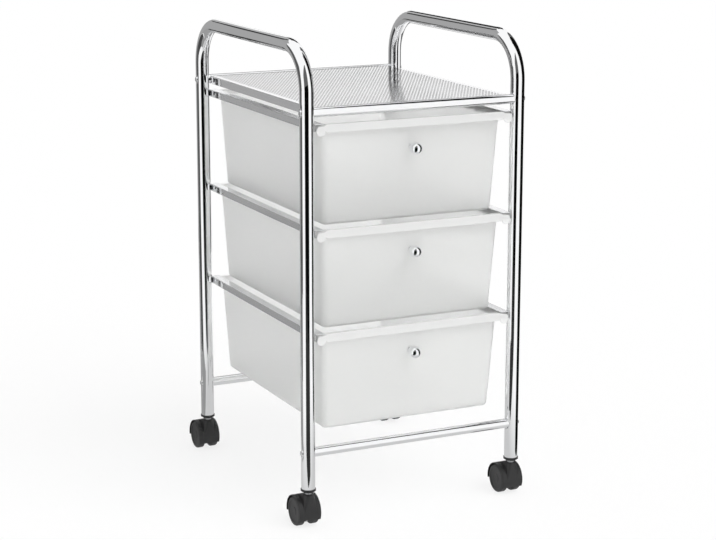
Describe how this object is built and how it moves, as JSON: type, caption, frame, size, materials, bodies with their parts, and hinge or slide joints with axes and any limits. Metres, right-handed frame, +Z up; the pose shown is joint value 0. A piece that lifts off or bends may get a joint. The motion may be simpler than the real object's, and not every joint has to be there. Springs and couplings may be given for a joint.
{
  "type": "rolling drawer cart",
  "caption": "Chrome tube cart on swivel casters with hanging frosted drawers, a perforated top shelf and side handles, for storage that rolls.",
  "frame": {"origin": "on the floor, under the middle of the bounding box", "axes": "+Z up, +X to the right and -Y to the front, which is the side with the knobs"},
  "size_m": [0.345, 0.4218, 0.6555],
  "materials": {
    "chrome_tube": "bright chrome plating on round steel tube",
    "chrome_sheet": "bright chrome plating on perforated steel sheet",
    "chrome_runner": "bright chrome plating on folded steel channel",
    "chrome_knob": "polished chrome plating",
    "chrome_screw": "chrome-plated screw heads",
    "plain_steel": "zinc-plated steel",
    "frosted_plastic": "milky, frosted, see-through plastic",
    "black_plastic": "black moulded plastic, satin",
    "hood_plastic": "charcoal moulded plastic, satin",
    "wheel_plastic": "dark grey hard plastic, satin"
  },
  "bodies": {
    "frame": {"left_side_frame": "chrome_tube", "right_side_frame": "chrome_tube", "upper_front_crossbar": "chrome_tube", "upper_rear_crossbar": "chrome_tube", "lower_front_crossbar": "chrome_tube", "lower_rear_crossbar": "chrome_tube", "crossbar_plugs": "plain_steel", "crossbar_screws": "chrome_screw", "shelf_panel": "chrome_sheet", "left_runner_top": "chrome_runner", "left_runner_middle": "chrome_runner", "left_runner_bottom": "chrome_runner", "right_runner_top": "chrome_runner", "right_runner_middle": "chrome_runner", "right_runner_bottom": "chrome_runner", "front_left_socket": "black_plastic", "front_right_socket": "black_plastic", "rear_left_socket": "black_plastic", "rear_right_socket": "black_plastic", "front_left_stem": "plain_steel", "front_right_stem": "plain_steel", "rear_left_stem": "plain_steel", "rear_right_stem": "plain_steel", "stem_grip_rings": "plain_steel"},
    "top_drawer": {"drawer_tub_top": "frosted_plastic", "drawer_knob_top": "chrome_knob", "knob_screw_top": "plain_steel"},
    "middle_drawer": {"drawer_tub_middle": "frosted_plastic", "drawer_knob_middle": "chrome_knob", "knob_screw_middle": "plain_steel"},
    "bottom_drawer": {"drawer_tub_bottom": "frosted_plastic", "drawer_knob_bottom": "chrome_knob", "knob_screw_bottom": "plain_steel"},
    "front_left_caster": {"front_left_hood": "hood_plastic", "front_left_axle": "plain_steel"},
    "front_left_outer_wheel": {"front_left_wheel_outer": "wheel_plastic"},
    "front_left_inner_wheel": {"front_left_wheel_inner": "wheel_plastic"},
    "front_right_caster": {"front_right_hood": "hood_plastic", "front_right_axle": "plain_steel"},
    "front_right_outer_wheel": {"front_right_wheel_outer": "wheel_plastic"},
    "front_right_inner_wheel": {"front_right_wheel_inner": "wheel_plastic"},
    "rear_left_caster": {"rear_left_hood": "hood_plastic", "rear_left_axle": "plain_steel"},
    "rear_left_outer_wheel": {"rear_left_wheel_outer": "wheel_plastic"},
    "rear_left_inner_wheel": {"rear_left_wheel_inner": "wheel_plastic"},
    "rear_right_caster": {"rear_right_hood": "hood_plastic", "rear_right_axle": "plain_steel"},
    "rear_right_outer_wheel": {"rear_right_wheel_outer": "wheel_plastic"},
    "rear_right_inner_wheel": {"rear_right_wheel_inner": "wheel_plastic"}
  },
  "joints": [
    {"name": "top_drawer_slide", "type": "slide", "parent": "frame", "child": "top_drawer", "axis": [0, -1, 0], "range_m": [0, 0.25]},
    {"name": "middle_drawer_slide", "type": "slide", "parent": "frame", "child": "middle_drawer", "axis": [0, -1, 0], "range_m": [0, 0.25]},
    {"name": "bottom_drawer_slide", "type": "slide", "parent": "frame", "child": "bottom_drawer", "axis": [0, -1, 0], "range_m": [0, 0.25]},
    {"name": "front_left_swivel", "type": "hinge", "parent": "frame", "child": "front_left_caster", "pos_m": [-0.1565, -0.19672, 0.047], "axis": [0, 0, 1], "continuous": true},
    {"name": "front_left_outer_wheel_roll", "type": "hinge", "parent": "front_left_caster", "child": "front_left_outer_wheel", "pos_m": [-0.1565, -0.18172, 0.02], "axis": [1, 0, 0], "continuous": true},
    {"name": "front_left_inner_wheel_roll", "type": "hinge", "parent": "front_left_caster", "child": "front_left_inner_wheel", "pos_m": [-0.1565, -0.18172, 0.02], "axis": [1, 0, 0], "continuous": true},
    {"name": "front_right_swivel", "type": "hinge", "parent": "frame", "child": "front_right_caster", "pos_m": [0.1565, -0.19672, 0.047], "axis": [0, 0, 1], "continuous": true},
    {"name": "front_right_outer_wheel_roll", "type": "hinge", "parent": "front_right_caster", "child": "front_right_outer_wheel", "pos_m": [0.1565, -0.18172, 0.02], "axis": [1, 0, 0], "continuous": true},
    {"name": "front_right_inner_wheel_roll", "type": "hinge", "parent": "front_right_caster", "child": "front_right_inner_wheel", "pos_m": [0.1565, -0.18172, 0.02], "axis": [1, 0, 0], "continuous": true},
    {"name": "rear_left_swivel", "type": "hinge", "parent": "frame", "child": "rear_left_caster", "pos_m": [-0.1565, 0.17328, 0.047], "axis": [0, 0, 1], "continuous": true},
    {"name": "rear_left_outer_wheel_roll", "type": "hinge", "parent": "rear_left_caster", "child": "rear_left_outer_wheel", "pos_m": [-0.1565, 0.18828, 0.02], "axis": [1, 0, 0], "continuous": true},
    {"name": "rear_left_inner_wheel_roll", "type": "hinge", "parent": "rear_left_caster", "child": "rear_left_inner_wheel", "pos_m": [-0.1565, 0.18828, 0.02], "axis": [1, 0, 0], "continuous": true},
    {"name": "rear_right_swivel", "type": "hinge", "parent": "frame", "child": "rear_right_caster", "pos_m": [0.1565, 0.17328, 0.047], "axis": [0, 0, 1], "continuous": true},
    {"name": "rear_right_outer_wheel_roll", "type": "hinge", "parent": "rear_right_caster", "child": "rear_right_outer_wheel", "pos_m": [0.1565, 0.18828, 0.02], "axis": [1, 0, 0], "continuous": true},
    {"name": "rear_right_inner_wheel_roll", "type": "hinge", "parent": "rear_right_caster", "child": "rear_right_inner_wheel", "pos_m": [0.1565, 0.18828, 0.02], "axis": [1, 0, 0], "continuous": true}
  ]
}
